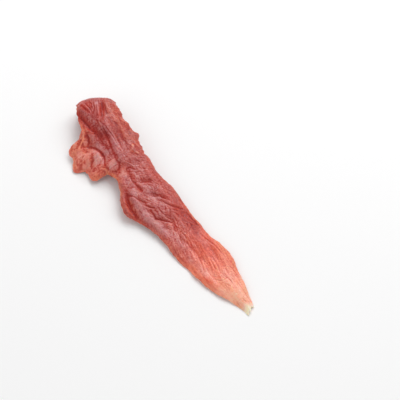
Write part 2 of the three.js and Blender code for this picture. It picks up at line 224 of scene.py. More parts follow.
# Narrow creases and ridges of the upper face, too fine for the solid: height, half width, path.
FINE_CREASES = [
    # streaks that fan out below the crest
    (-0.4, 0.6, *FAN_STREAK),
    (-0.3, 0.45, (-71.2, 3.3), (-66.7, 3.8), (-62.5, 3.7)),
    (-0.35, 0.45, (-68, 6.9), (-64.7, 5.7), (-62.5, 3.7)),
    (-0.3, 0.45, (-66.9, 8.2), (-63.4, 6.1), (-59.9, 4.5)),
    (-0.45, 0.8, (-67.3, 11.4), (-62.2, 8.6), (-56.4, 5.2)),
    (-0.3, 0.45, (-58.3, 3.2), (-54.4, 2.5)),
    # deep crease above the lobe, and the thin ones that leave it
    (-0.6, 0.75, (-70.6, -1.8), (-66.6, -1.7), (-63.1, -1.4), (-59.2, -1.2), (-54.8, -1.5), (-52.9, 0.5)),
    (-0.3, 0.4, (-56.6, -3.7), (-53.8, -2.1), (-52, -0.3)),
    (-0.45, 0.5, (-56.2, -4), (-53.7, -4.3), (-51.6, -5.2), (-51.1, -6.8)),
    (0.35, 0.5, *LOBE_RIDGE),
    # both sides of the spine
    (-0.35, 0.7, (-50.7, 3.1), (-47.1, 2.7), (-42.8, 2), (-38.6, 1.2), (-33.9, 0.8)),
    (-0.3, 0.7, (-44.1, 6.9), (-41.1, 6.8), (-36.7, 6.1)),
    # grooves between the pads of the lobe
    (-0.45, 0.5, (-51.2, -7.8), (-49.2, -5.3), (-45.9, -4.2), (-41.8, -3.8), (-39.2, -3.7), (-34.6, -5.7)),
    (-0.35, 0.5, (-43.1, -8.6), (-41.8, -8.4), (-41, -10), (-39.5, -10.9)),
    (-0.45, 0.6, *PAD_RING),
    (0.35, 0.45, *LOBE_LINE),
    # neck
    (-0.35, 0.45, (-24.7, 0.6), (-25.8, 1.6), (-25.6, 3.2), (-22.6, 4.5)),
    (-0.4, 0.5, (-20.7, 0.4), (-18.1, -0.1), (-14.9, 0.4), (-13, 0.8), (-10.7, 1.4)),
    (-0.45, 0.8, (-14.4, 0.4), (-12.3, 1), (-10.3, 1)),
    (-0.22, 0.35, (-14.7, 2), (-15, 4.1), (-13.4, 7.3), (-11.8, 8)),
    (-0.22, 0.35, (-15.6, 6.3), (-14.4, 7.8), (-12.5, 8.5), (-9.5, 9.5), (-8.4, 10.4)),
    (-0.35, 0.45, (-12.1, -5.5), (-9.1, -4), (-7.2, -3.2), (-5.2, -1.6), (-3.1, -0.5)),
    (-0.3, 0.4, (-28, 9.5), (-27.2, 12.3)),
    (-0.6, 0.9, (-13.5, -6.9), (-9.5, -7.5), (-5.2, -8.4), (-0.6, -8), (3.6, -7)),
    # wrinkles of the upper leaf
    (-0.3, 0.4, (-7.7, 3.6), (-6, 5.9), (-4.4, 6.5)),
    (-0.3, 0.4, (-3.4, 6.9), (-1.6, 8.2), (0.8, 9.5)),
    (-0.2, 0.3, (-6.2, 2.8), (-4.7, 5.4)),
    (-0.2, 0.3, (-4.1, 1.9), (-2.6, 3.6)),
    (-0.5, 0.45, (-3.1, -1.7), (-1.3, -0.5), (0.9, 1.4)),
    (-0.5, 0.45, (0.8, -0.6), (3.5, -0.6), (5.5, -0.7), (6.8, 0.7), (9.3, 2.5), (11.3, 4.3)),
    (-0.35, 0.4, (-1.7, 6.3), (0.9, 7.1), (3.6, 8.7), (5.6, 10.8), (8.3, 13.4)),
    (-0.3, 0.4, (1.6, 2.9), (4, 2.9), (5.4, 3.2), (7.5, 4.1)),
    (-0.25, 0.35, (3, 6), (5.1, 5)),
    (-0.3, 0.4, (3.7, 7.3), (5.7, 7.1), (7.4, 6.1)),
    (-0.25, 0.35, (5.7, 8.1), (7.9, 10.5)),
    (-0.3, 0.4, (6.9, 7.3), (8.5, 8.5), (10.1, 9.2), (11.8, 8.9)),
    (-0.3, 0.4, (10.3, 7), (12.5, 6.7), (15.4, 6)),
    (-0.25, 0.35, (12.4, 11.7), (15, 12.4), (17, 13.3), (19.3, 13.9)),
    (-0.25, 0.4, (-2.2, -5.3), (0.1, -5.2)),
    (-0.25, 0.4, (6.3, -4.3), (8.4, -4.4)),
    (-0.2, 0.3, (16.1, 10.4), (18.6, 8.9)),
    (-0.2, 0.3, (17.6, 12.1), (20, 9.1)),
    # lip of the far edge and long lines of the leaf
    (-0.3, 0.4, (0.2, 15), (3.7, 14.6), (7.4, 14.6)),
    (-0.45, 0.5, (10.1, 13.4), (14.5, 13.8), (18.2, 14.2), (20.7, 14.6)),
    (-0.35, 0.45, (23.8, 13), (26.9, 13.4), (30.4, 14), (33.1, 14.6), (37.3, 15.2), (41.6, 15.4)),
    (-0.45, 0.4, (19.6, 3.9), (21.9, 3.1), (25.7, 2.4)),
    (-0.3, 0.4, (18, 5.6), (20.8, 5.8), (23.7, 5.6)),
    (-0.25, 0.4, (25.1, 6.3), (28, 5.5)),
    (-0.25, 0.45, (29.4, 3), (32.6, 2.9)),
    (-0.3, 0.4, (35.1, 5.1), (37, 4.7), (40.1, 3.9), (43.9, 2.7)),
    (-0.25, 0.4, (39.4, 8.6), (42.6, 8.2), (45.5, 7.8)),
    (-0.3, 0.5, (28.9, -2.6), (31, -2.3), (34, -1.6)),
    (-0.25, 0.5, (37.7, -0.9), (41.3, -1), (43.9, -0.8)),
    (-0.2, 0.35, (49.6, 4.5), (51.5, 5.8), (52.6, 7.7), (52.3, 9.6)),
    (-0.2, 0.4, (54.9, 7.4), (57.3, 8.4)),
    (-0.2, 0.4, (57.1, 12.2), (61, 10.6)),
    (-0.35, 0.45, (60.7, 3.7), (63.4, 5.1), (66.4, 6.7)),
    (-0.3, 0.4, (65.2, 9.4), (67.8, 10)),
]
# Thin raised lines and warts.
FINE_RIDGES = [
    (0.4, 0.5, (-53.5, 3.6), (-49.4, 4.2), (-45.2, 4.4), (-41.4, 4.4), (-37.1, 4.4)),
    (0.25, 0.45, (-52, 5.2), (-46, 5.8), (-40, 5.3), (-34, 4.4)),
    (0.35, 0.5, (7.9, 15.1), (13.4, 15.2), (20, 15.4), (26, 15.9)),
    (0.55, 0.6, *LONG_WART),
    (0.45, 0.7, *ROUND_WART),
    (0.25, 0.35, (-28.8, 3.2), (-26.6, 4.4), (-24.2, 5.4)),
    (0.25, 0.4, (-28, 7.8), (-25.7, 12.5)),
    (0.22, 0.35, (-13.8, 2.1), (-13.6, 5.1), (-11.7, 7), (-9.5, 7.8)),
    (0.25, 0.4, (-3.9, -1.2), (-1.2, 0.8)),
    (0.22, 0.4, (6.9, 2), (10.5, 4.8)),
    (0.22, 0.35, (4.8, 8.2), (7.1, 10.6), (8.7, 12.4)),
    (0.25, 0.6, (12, 8.9), (14, 8.2), (16.9, 8.1)),
    (0.25, 0.4, (1.3, -6.6), (5.1, -6.1), (9.7, -4.7)),
    (0.22, 0.4, (19.4, 5), (22.8, 4.7), (25.1, 3.9)),
    (0.2, 0.4, (25.7, 4.1), (29.7, 3.7)),
    (0.2, 0.4, (27.1, -1.3), (31.5, -1.6)),
]

# Places of the upper face with few wrinkles: amount, half width, path.
CALM_PATCHES = [
    (0.9, 2.6, (-11, -4), (-4, -4.6), (3, -4), (10, -2), (18, 0.6), (25, 2.5)),
    (0.8, 3.4, (-51, -10.5), (-47, -9)),
    (0.8, 2.6, (-43, -7), (-38, -7)),
    (0.8, 2, *SMALL_PAD),
    (0.6, 2.2, (-28, -0.7), (-21, -2)),
]
# Where each colour, painted light among them, shows on the upper face: amount, half width, path.
# Bloom: dusty mauve of the dried meat, and also painted sheen on its ridges.
BLOOM_AND_SHEEN_PATCHES = [
    (0.8, 0.6, (-73, 2.5), (-68, 2.8), (-63.4, 3.2)),
    (0.8, 0.6, (-70.6, 5.2), (-66, 4.7), (-61.5, 4.1)),
    (0.7, 0.6, (-68, 9.4), (-64, 7.3), (-60, 5.6)),
    (0.6, 0.8, (-75, 0.6), (-70, 0.4), (-64, 0.8)),
    (0.75, 1.6, (-69, 3), (-65.5, 4), (-62, 5.6)),
    (0.5, 2.4, (-66, 0.6), (-62, 1.4), (-57, 1)),
    (0.5, 1.4, (-53, 3.8), (-49, 4.6), (-42, 4.4), (-34, 3)),
    (0.45, 4, (-48, -1), (-42, 0), (-36, 0), (-30, 3)),
    (0.75, 2.6, (-43, -7), (-39, -6.6), (-37.5, -8.5)),
    (1.1, 1.9, *SMALL_PAD),
    (0.7, 2, (-28, -0.7), (-21, -2), (-14, -2.6)),
    (0.7, 1.2, (-14, -3), (-11.5, -3), (-9, -1.4)),
    (0.75, 1.9, (-11.4, 4.6), (-8.8, 4.7), (-6.2, 4.6)),
    (0.95, 2.3, (-9, -4.6), (-4, -4.6), (3, -4), (10, -2), (18, 0.6), (25, 2.5)),
    (0.45, 5, (-16, 3), (-4, 4), (6, 5), (16, 4)),
    (0.4, 3, (-28, 4), (-20, 5)),
    (0.6, 1.1, (12, 8.6), (16, 7.8), (20, 6.8)),
    (0.6, 1.8, (20, 1.6), (30, 1.2), (38, 1.6), (45, 2.6), (54, 3.8)),
    (0.8, 1.6, (-70.4, 7.6), (-66.9, 7.8), (-64, 8)),
    (0.6, 1.6, (-48.4, -3.9), (-45.5, -3.4), (-41.6, -2.5)),
    (0.35, 1.2, (50.4, 8.8), (57, 8.6)),
    (-0.6, 1.7, (34, -1.5), (44, -0.2), (54, 2)),
    (0.35, 2, (-41, 3.2), (-33, 2.6)),
    (-0.8, 4, (22, 11), (32, 12), (44, 12)),
    (-0.8, 2.8, (6, 11), (16, 12), (23, 13)),
    (-0.5, 3.4, (-62, 13), (-52, 12), (-40, 14)),
]
# Blood: dark red of the creases, which also paints the shade that falls in them.
BLOOD_AND_SHADE_PATCHES = [
    (1.5, 1.4, (-71, -1.9), (-66, -1.5), (-61, -1.3), (-56, -1.5), (-52.3, -0.7)),
    (1.5, 1.3, (-67, 11), (-64, 9.6), (-60, 7.2), (-57, 5)),
    (0.6, 1, *FAN_STREAK),
    (0.75, 3.4, (-74, 3), (-70, 4), (-65, 5), (-61, 5)),
    (0.3, 1, (-57, -4.2), (-53, -4.5), (-50.8, -6.5)),
    (0.5, 1.2, (-51, 2.6), (-47, 2.6), (-42, 1.7), (-34, 0.7)),
    (0.5, 1.1, (-44, 7), (-40, 6.8), (-36, 6)),
    (0.5, 0.8, (-51.2, -7.8), (-45.9, -4.2), (-40, -3.6), (-34.8, -5.6)),
    (0.5, 1, *PAD_RING),
    (0.75, 1.5, (-14.5, -6.4), (-9.7, -7.6), (-5, -8.4), (0, -8), (5, -6.8)),
    (0.9, 1.05, (-14.8, 0.4), (-12.3, 0.9), (-10.2, 1)),
    (0.55, 0.8, (-22.2, 1.3), (-18.6, 1.1), (-14.7, 0.8)),
    (0.5, 0.9, (-27, 1.9), (-25.5, 3.1), (-23.3, 4.1)),
    (0.9, 1.2, (8, 13.2), (14.5, 13.6), (20, 14)),
    (1.3, 1.8, (9.4, 10.3), (14.7, 11.7), (21, 12.6)),
    (0.65, 2.6, (-5, 8.5), (-1, 9.5), (5, 10.5), (12, 10.5)),
    (0.4, 2.3, (-24, 9), (-14, 10.5), (-6, 12)),
    (0.6, 0.6, (-3.1, -1.1), (-1.1, 0.1), (0.9, 1.8)),
    (0.6, 0.6, (0.1, -0.8), (3.3, -0.8), (5.5, -0.4), (7.9, 2), (11.3, 4.7)),
    (0.25, 1, (46, 0.4), (54, 2), (61, 4.4)),
    (0.45, 1.3, (-52, 9), (-51, 11.5)),
    (0.45, 0.6, (26, 2.9), (33.5, 2.4), (38.6, 2.4), (42.3, 2.1)),
    (0.35, 0.7, (36.9, 11), (41.9, 9.6)),
    (0.35, 0.5, (47.2, 2.6), (50.3, 4.2), (51.4, 6.4)),
    (0.15, 0.7, (28, -2.3), (34.2, -1.9), (40.1, -1.4), (45.2, 0.3)),
    (0.4, 2.8, (20, 10), (27, 10.5), (34, 12), (44, 13)),
    (0.4, 2.6, (8, 10), (15, 11.5), (22, 12)),
]
# Amber: orange of the thin edges and raised lines, with painted glow of light through thin meat and painted
# highlights on the lines.
AMBER_AND_GLOW_PATCHES = [
    (0.5, 4, (-66, 13), (-57, 13), (-49, 13), (-38, 13)),
    (0.6, 1.5, (-57.5, -8.5), (-56, -12), (-51, -14.8), (-46, -16.5)),
    (0.95, 0.9, *LOBE_RIDGE),
    (0.7, 1.5, (-64.5, -3.8), (-59.6, -3.8), (-56, -3.2)),
    (1, 1.5, (-35.3, -12.8), (-33, -11.8), (-33, -10.4)),
    (0.4, 2.6, (32, 15), (42, 15.5), (52, 14.5)),
    (0.8, 0.6, *LOBE_LINE),
    (0.5, 1.2, (-33.3, 9.4), (-31.3, 7.7)),
    (0.55, 1.1, (-24, -5.8), (-17, -8), (-12, -10.3)),
    (0.75, 1.5, (-10, -7.3), (-5, -8.3), (0, -7.9)),
    (0.9, 0.7, (7.9, 15.1), (13.4, 15.2), (20, 15.4)),
    (0.7, 1.4, (26, 16.2), (35, 17.8), (42, 18.2), (50, 16.6)),
    (0.5, 1, (44, -0.6), (54, 1.4), (61, 4)),
]
# Places that stay coral instead of turning to peach.
CORAL_PATCHES = [
    (0.4, 3, (22, 11), (32, 12), (44, 13)),
    (0.35, 1.4, (44, 0.2), (52, 1.6), (60, 4)),
]
# Pads of the upper part with paler flesh.
PALE_PATCHES = [
    (0.6, 2, (-35, -2), (-31.5, -2.8)),
    (0.5, 2.2, (-29, 0.5), (-26, -1.2), (-21, -2.2)),
]
# Painted glints on two warts.
GLINT_PATCHES = [
    (0.8, 0.75, *LONG_WART),
    (0.5, 0.7, *ROUND_WART),
]
# Darker places of the upper face, or lighter ones where the amount is negative.
SHADE_PATCHES = [
    (0.15, 4, (-60, 13), (-50, 13), (-38, 14)),
    (-0.14, 3, (-76, -1), (-66, 2)),
    (0.15, 1.5, (-53, 3.6), (-47, 4.4), (-41, 4.8)),
    (-0.12, 1.8, (-48.4, -3.9), (-41.6, -2.5)),
    (-0.08, 2, (-55, -7), (-52, -10)),
    (0.2, 2, (-40, -12.4), (-36, -11)),
    (-0.15, 2.2, (-47, -15), (-43.5, -15.5)),
    (-0.12, 1.6, (-34, -2.6), (-31.6, -3.2)),
    (-0.08, 2.4, (-29, 0.5), (-21, -1)),
    (0.1, 3, (8, 10), (16, 12), (26, 11)),
    (0.05, 3, (24, 10), (32, 11.5), (44, 12)),
    (-0.16, 2.4, (25, -2.6), (32, -2.2), (40, -0.6)),
    (-0.1, 3, (34, 0), (44, 2.4), (56, 5.6)),
    (-0.14, 2.6, (56, 5), (66, 8.6)),
    (0.12, 1.7, (43, 17), (49, 15.4), (55, 14.5)),
    (-0.1, 2.4, (-8, 0), (-1, 0)),
    (-0.06, 3, (14, 3.5), (24, 4.2)),
]
# Where the cream of the tip shows through further up the leaf.
CREAM_PATCHES = [
    (0.18, 2, (53, 2.4), (58, 4), (62, 6)),
]
# Along the strip, as place and value: the lightness, and how far the flesh turns from deep red to coral and
# from coral to peach.
LIGHT_ALONG = [
    (-90, -0.06), (-58, -0.13), (-40, -0.1), (-20, -0.02), (4, -0.06), (20, -0.05), (50, 0.02), (62, 0.1),
    (80, 0.12),
]
CORAL_ALONG = [(-85, 0.05), (-30, 0.12), (0, 0.18), (18, 0.4), (34, 0.8), (46, 1), (80, 1)]
PEACH_ALONG = [(26, 0), (44, 0.3), (56, 0.65), (65, 1), (80, 1)]
# The same for how strong the fibres, folds and thin wrinkles are, how much painted shade the small hollows
# get, how strong bloom and its painted sheen, blood and its painted shade, and the warm clouds are.
STRINGY_ALONG = [
    (-90, 0.6), (-62, 0.4), (-46, 0.25), (-24, 0.1), (12, 0.1), (26, 0.4), (50, 0.35), (80, 0.5),
]
FOLDED_ALONG = [(-80, 0.15), (-36, 0.15), (-24, 0.7), (-10, 1), (14, 1), (26, 0.3), (75, 0.12)]
WRINKLED_ALONG = [(-80, 0.3), (-60, 0.5), (-36, 0.6), (-24, 1), (16, 1), (28, 0.45), (75, 0.25)]
CRISP_ALONG = [(-90, 1), (14, 1), (30, 0.55), (80, 0.35)]
BLOOM_AND_SHEEN_ALONG = [(-90, 1), (20, 1), (50, 0.75), (70, 0.4)]
BLOOD_AND_SHADE_ALONG = [(-90, 1), (10, 1), (40, 0.6), (62, 0.4)]
WARM_ALONG = [(-90, 1), (0, 0.8), (20, 0.5), (80, 0.3)]
# Hollows get painted shade: darker, redder and without the painted sheen.
# Kinds of hollow: the blur in cells and the depth in millimetres that tell it from its surroundings.
FINE_HOLLOW = (1, 0.015)
HOLLOW = (1.8, 0.05)
BROAD_HOLLOW = (8, 0.4)
# Where the cream tip begins and is full, on the upper and on the lower face.
CREAM_FROM = (68, 71.6)
CREAM_FROM_BELOW = (67, 72.5)

# Darker meat and painted shade keep their red longer than their green and blue: powers of the lightness.
RED_FADE = 0.42
OTHER_FADE = 1.75
# Features a metre of the speckle and of the clouds in the meat.
SPECKLE_SCALE = 1300
CLOUD_SCALE = 420

# Point that the camera and the lamps look at, in millimetres, and half the floor's width in metres.
AIM = (5.89, 24.98, 0)
FLOOR_HALF = 2.5
# Lamps: name, share of the key's power, width and distance in metres, azimuth and elevation in degrees.
LAMPS = [
    ("key", 1, 0.95, 1.1, 195, 58),
    ("fill", 0.35, 1.0, 1.3, 20, 40),
    ("back", 0.4, 0.35, 0.9, 238, 40),
]


def scatter(column, row, seed):
    """A repeatable random number from 0 to 1 for each grid point: whole numbers stirred in 32 bits."""
    mask = np.uint64(0xFFFFFFFF)
    column = column.astype(np.int64).astype(np.uint64)
    row = row.astype(np.int64).astype(np.uint64)
    start = np.uint64(int(seed) * 1274126177 & 0xFFFFFFFF)
    h = (column * np.uint64(374761393) + row * np.uint64(668265263) + start) & mask
    h = ((h ^ (h >> np.uint64(13))) * np.uint64(1274126177)) & mask
    return (h ^ (h >> np.uint64(16))) / 2.0 ** 32


def noise(x, y, seed):
    """Gradient noise, about -1 to 1: a random slope at each whole point, eased from corner to corner.

    The seed is any whole number, and only tells one noise from the others.
    """
    column = np.floor(x)
    row = np.floor(y)
    fx = x - column
    fy = y - row

    def slope(i, j):
        angle = 2 * np.pi * scatter(column + i, row + j, seed)
        return np.cos(angle) * (fx - i) + np.sin(angle) * (fy - j)

    u = fx ** 3 * (fx * (fx * 6 - 15) + 10)
    v = fy ** 3 * (fy * (fy * 6 - 15) + 10)
    near = slope(0, 0) * (1 - u) + slope(1, 0) * u
    far = slope(0, 1) * (1 - u) + slope(1, 1) * u
    return 1.5 * (near * (1 - v) + far * v)


def smooth(x, low, high):
    """0 below low, 1 above high, and 3k^2 - 2k^3 between them."""
    k = np.clip((x - low) / (high - low), 0, 1)
    return k * k * (3 - 2 * k)


def bell(distance, spread):
    """exp(-(distance / spread)^2)."""
    return np.exp(-((distance / spread) ** 2))


def eased(depth):
    """Carries any number to between -1 and 1: d / sqrt(1 + d^2)."""
    return depth / np.sqrt(1 + depth * depth)


def profile(stations, x):
    """The value at x of a smooth line through stations of place and value."""
    place, value = np.array(stations, float).T
    i = np.clip(np.searchsorted(place, x) - 1, 0, len(place) - 2)
    k = smooth(x, place[i], place[i + 1])
    return value[i] * (1 - k) + value[i + 1] * k


def creased(creases, x, y):
    """Sum over the creases of height * bell(distance to the path), faded by sqrt(sin) to both path ends."""
    total = np.zeros_like(x)
    for height, width, *path in creases:
        nearest = np.full_like(x, np.inf)
        along = np.zeros_like(x)
        for i, (a, b) in enumerate(zip(path, path[1:])):
            dx = b[0] - a[0]
            dy = b[1] - a[1]
            k = np.clip(((x - a[0]) * dx + (y - a[1]) * dy) / (dx * dx + dy * dy), 0, 1)
            distance = np.hypot(x - a[0] - k * dx, y - a[1] - k * dy)
            hit = distance < nearest
            nearest = np.where(hit, distance, nearest)
            along = np.where(hit, (i + k) / (len(path) - 1), along)
        fade = np.sqrt(np.sin(np.pi * np.clip(along, 0.04, 0.96)))
        total += height * fade * bell(nearest, width)
    return total


def relief(x, y, face):
    """Lumps, muscle bundles and slanting wrinkles of one face: face is 0 above and 1 below.

    Each is a stretched noise. Lumps are strongest at the lobe, and wrinkles at the neck.
    """

    def layer(sizes, u, v):
        long, wide, height, seed = sizes
        return height * noise(u / long, v / wide, seed + face)

    forwards = x * math.cos(WRINKLE_SLANT) - y * math.sin(WRINKLE_SLANT)
    sideways = x * math.sin(WRINKLE_SLANT) + y * math.cos(WRINKLE_SLANT)
    lumps = layer(LUMPS, x, y) * (0.45 + 0.75 * bell(x - LOBE[0], LOBE[1]))
    wrinkles = layer(WRINKLES, forwards, sideways) * (0.25 + bell(x - NECK[0], NECK[1]))
    return lumps + layer(BUNDLES, x, y) + wrinkles


def edge(column, share):
    """A smooth curve through one edge's rib points, by the uniform Catmull-Rom formula."""
    p = RIBS[:, column:column + 3]
    p = np.vstack([2 * p[0] - p[1], p, 2 * p[-1] - p[-2]])
    at = share * (len(RIBS) - 1)
    i = np.clip(np.floor(at).astype(int), 0, len(RIBS) - 2)
    k = (at - i)[..., None]
    before, a, b, after = p[i], p[i + 1], p[i + 2], p[i + 3]
    leave = (b - before) / 2
    arrive = (after - a) / 2
    square = 3 * (b - a) - 2 * leave - arrive
    cube = 2 * (a - b) + leave + arrive
    return a + k * (leave + k * (square + k * cube))


def ragged(point, layers):
    """How far the edge stands out at its plan point: a sum of noise layers, less along the leaf."""
    x, y = point[..., 0], point[..., 1]
    reaches = [reach * noise(x / size, y / size, seed) for size, reach, seed in layers]
    return profile(RAGGEDNESS, x) * sum(reaches)


def sheet(long, wide, layers):
    """Plan position, middle height, thickness and outward direction at shares of length and width.

    Both edges are moved out by their raggedness, the sheet is ruled between them, and crown, edge waves and
    folds raise its middle. The thickness is the rim's plus a body that swells as (1 - side^2.6)^0.75.
    """
    minus = edge(0, long)
    plus = edge(3, long)
    outwards = (plus - minus) * (1, 1, 0)
    outwards /= np.linalg.norm(outwards, axis=-1, keepdims=True)
    taper = np.minimum(1, long * LENGTH / BACK_TAPER) * np.minimum(1, (1 - long) * LENGTH / TIP_TAPER)
    minus = minus - outwards * (taper * ragged(minus, layers))[..., None]
    plus = plus + outwards * (taper * ragged(plus, layers))[..., None]
    flat = minus + (plus - minus) * wide[..., None]

    fringe = np.maximum(0, 1 - np.minimum(long, 1 - long) / RAGGED_END["share"])
    across, along = RAGGED_END["teeth"]
    teeth = RAGGED_END["reach"] * noise(wide * across, long * along, RAGGED_END["seed"])
    x = flat[..., 0] + np.sign(long - 0.5) * fringe * (teeth - RAGGED_END["notch"] * np.sin(np.pi * wide))
    y = flat[..., 1]

    side = np.abs(wide - 0.5) * 2
    size, height, seed = EDGE_WAVES
    waves = height * side ** 2 * noise(x / size, y / size, seed)
    middle = flat[..., 2] + profile(CROWN, x) * 4 * wide * (1 - wide) + waves + creased(FOLDS, x, y)
    lobe = smooth(-y, 2, 12) * smooth(-x, 28, 34)
    body = np.maximum(0, 1 - side ** 2.6) ** 0.75 * profile(FULLNESS, x) * (1 - LOBE_THINNING * lobe)
    thickness = RIM_THICKNESS + (MEAT_THICKNESS - RIM_THICKNESS) * body * np.sqrt(taper)
    return x, y, middle, thickness, outwards


def faces(long, wide, layers):
    """Heights of the lower and upper face of the solid, with their plan position and outward direction.

    The relief fades to a quarter at the sides and to a fifth at the ends.
    """
    x, y, middle, thickness, outwards = sheet(long, wide, layers)
    from_side = np.minimum(1, 4 * np.minimum(wide, 1 - wide) + 0.25)
    from_end = np.minimum(1, 12 * np.minimum(long, 1 - long) + 0.2)
    inner = from_side * from_end
    upper = thickness / 2 + inner * (relief(x, y, 0) + creased(FURROWS, x, y))
    lower = -thickness / 2 + inner * UNDERSIDE_SHARE * relief(x, y, 1)
    under = np.maximum(0, middle + np.minimum(lower, upper - LEAST_THICKNESS))
    over = np.maximum(middle + upper, under + LEAST_THICKNESS)
    return x, y, under, over, outwards


def rolled(x, y, z):
    """Beyond the crest line the sheet follows an arc of ROLL_RADIUS and then runs straight down."""
    heading = (math.cos(CREST_HEADING), math.sin(CREST_HEADING))
    beyond = (x - CREST[0]) * heading[0] + (y - CREST[1]) * heading[1]
    angle = np.clip(beyond / ROLL_RADIUS, 0, ROLL_ANGLE)
    straight = beyond - angle * ROLL_RADIUS
    axis = CREST_HEIGHT - ROLL_RADIUS
    reach = np.where(beyond > 0, (z - axis) * np.sin(angle) + straight * np.cos(angle) - beyond, 0)
    height = np.where(beyond > 0, axis + (z - axis) * np.cos(angle) - straight * np.sin(angle), z)
    return np.stack([x + heading[0] * reach, y + heading[1] * reach, height], -1)


def heading_at(strokes, wobble, x, y):
    """Direction of the grain in radians.

    It is the mean of the strokes' directions, weighted by 1 / (distance^2 + 4)^2, and turned by a slow
    noise of the given wobble.
    """
    east = np.zeros_like(x)
    north = np.zeros_like(x)
    for place_x, place_y, degrees in strokes:
        weight = ((x - place_x) ** 2 + (y - place_y) ** 2 + 4) ** -2.0
        east += weight * math.cos(math.radians(degrees))
        north += weight * math.sin(math.radians(degrees))
    return np.arctan2(north, east) + wobble * noise(x / 6, y / 4.5, 190)


def streaks(strokes, wobble, x, y, width, length, seed):
    """Streaky noise of unit spread: isotropic noise of that width, averaged along the grain both ways."""
    step = width * 0.9
    total = noise(x / width, y / width, seed)
    for way in (-1, 1):
        px, py = x, y
        for _ in range(max(1, round(length / step / 2))):
            heading = heading_at(strokes, wobble, px, py)
            px = px + way * step * np.cos(heading)
            py = py + way * step * np.sin(heading)
            total = total + noise(px / width, py / width, seed)
    return total / total.std()


def blurred(field, cells):
    """The field smoothed along both grid directions by a Gaussian of that many cells."""
    reach = int(3 * cells)
    kernel = np.exp(-0.5 * (np.arange(-reach, reach + 1) / cells) ** 2)
    kernel /= kernel.sum()
    for axis in (0, 1):
        pad = [(0, 0), (0, 0)]
        pad[axis] = (reach, reach)
        wide = np.pad(field, pad, mode="edge")
        field = sum(k * np.take(wide, range(i, i + field.shape[axis]), axis) for i, k in enumerate(kernel))
    return field


def millimetres(name, description, default):
    """A length property, with its default given in millimetres."""
    return FloatProperty(name=name, description=description, default=default * MM, unit="LENGTH")


def colour(name, description, default):
    """A colour property with a linear default."""
    return FloatVectorProperty(
        name=name, description=description, default=default, size=3, subtype="COLOR", min=0, max=1
    )


class FilletShape(PropertyGroup):
    """Sizes of the fine surface."""

    fibres: millimetres("Fibres", "Height of the fine muscle fibres", 0.033)
    wrinkles: millimetres("Wrinkles", "Depth of the short wrinkles that cross the neck", 0.075)
    hairlines: millimetres("Hairlines", "Depth of the thinnest short wrinkles", 0.12)
    pimples: millimetres("Pimples", "Height of the small lumps on the lobe and the upper part", 0.1)


class FilletFinish(PropertyGroup):
    """Colours of the dried meat, some of which also paint sheen, shade and glow."""

    deep: colour("Deep flesh", "Dark red meat of the upper part", (0.4, 0.05, 0.042))
    coral: colour("Coral flesh", "Coral meat of the leaf", (0.8, 0.145, 0.082))
    peach: colour("Peach flesh", "Pale meat near the tip", (0.93, 0.37, 0.25))
    # The bloom colours are dusty mauve and dusty pink, and also paint the sheen of the ridges.
    bloom: colour("Bloom", "Dusty mauve where dark flesh has dried", (0.49, 0.172, 0.178))
    pale_bloom: colour("Pale bloom", "Dusty pink where coral flesh has dried", (0.8, 0.34, 0.3))
    # Blood also paints the shade in the creases and hollows.
    blood_and_shade: colour("Blood", "Dark red in the creases", (0.46, 0.026, 0.009))
    # Amber also paints the glow of the thin edges and the highlights on raised lines.
    amber_and_glow: colour("Amber", "Thin orange edges", (0.76, 0.225, 0.125))
    cream: colour("Cream", "Pale dried tip", (1, 0.87, 0.69))
    tan: colour("Tan", "Darker clouds of the pale tip", (1, 0.78, 0.58))
    roughness: FloatProperty(
        name="Roughness", description="Roughness of the dry surface", default=0.34, subtype="FACTOR"
    )
    translucency: millimetres("Translucency", "How far light travels inside the meat", 0.9)


class FilletStage(PropertyGroup):
    """Camera, floor and light."""

    elevation: FloatProperty(
        name="Elevation",
        description="Camera angle above the floor",
        default=math.radians(50),
        unit="ROTATION",
    )
    azimuth: FloatProperty(
        name="Azimuth",
        description="Camera angle round the fillet",
        default=math.radians(58),
        unit="ROTATION",
    )
    distance: FloatProperty(
        name="Distance", description="From the camera to its aim", default=0.7046, unit="LENGTH"
    )
    lens: FloatProperty(name="Lens", description="Focal length in millimetres", default=130, unit="CAMERA")
    floor: colour("Floor", "Plain pale floor", (0.95, 0.95, 0.95))
    key: FloatProperty(
        name="Key", description="Power of the large soft light", default=5.0, unit="POWER"
    )
    sky: FloatProperty(
        name="Sky", description="Strength of the even light all round", default=0.54, subtype="FACTOR"
    )


def even_shares():
    """Shares of the length whose rows lie about equally far apart along the middle of the sheet."""
    share = np.linspace(0, 1, LENGTH_SAMPLES)
    middle = (edge(0, share) + edge(3, share)) / 2
    run = np.concatenate([[0], np.cumsum(np.linalg.norm(np.diff(middle, axis=0), axis=1))])
    return np.interp(np.linspace(0, run[-1], CELLS_LONG + 1), run, share)


def folds(x, y, layer):
    """Soft folds with narrow valleys, 0 to about 2: sqrt(w^2 + 0.2^2) of streaky noise w."""
    return np.hypot(streaks(WRINKLE_STROKES, WRINKLE_WOBBLE, x, y, *layer), 0.2)


def lines(wave, spread):
    """1 on the zero lines of a wave on the grid, falling off over so many cells on both sides.

    The distance to a zero line is the wave over its slope, which is kept above 0.
    """
    slope = np.hypot(*np.gradient(wave))
    return bell(wave / (slope + 0.02), spread)


def strands(x, y):
    """Thin lines along the fibres, -1 to 1: zero lines of long streaky noise that come and go.

    One set is raised, and another is sunk half as deep.
    """

    def threads(width, length, seed):
        wave = streaks(FIBRE_STROKES, STRAND_WOBBLE, x, y, width, length, seed)
        return lines(wave, 1) * smooth(noise(x / 5, y / 2.4, seed + 1), -0.05, 0.45)

    return threads(*RAISED_STRANDS) - 0.5 * threads(*SUNK_STRANDS)


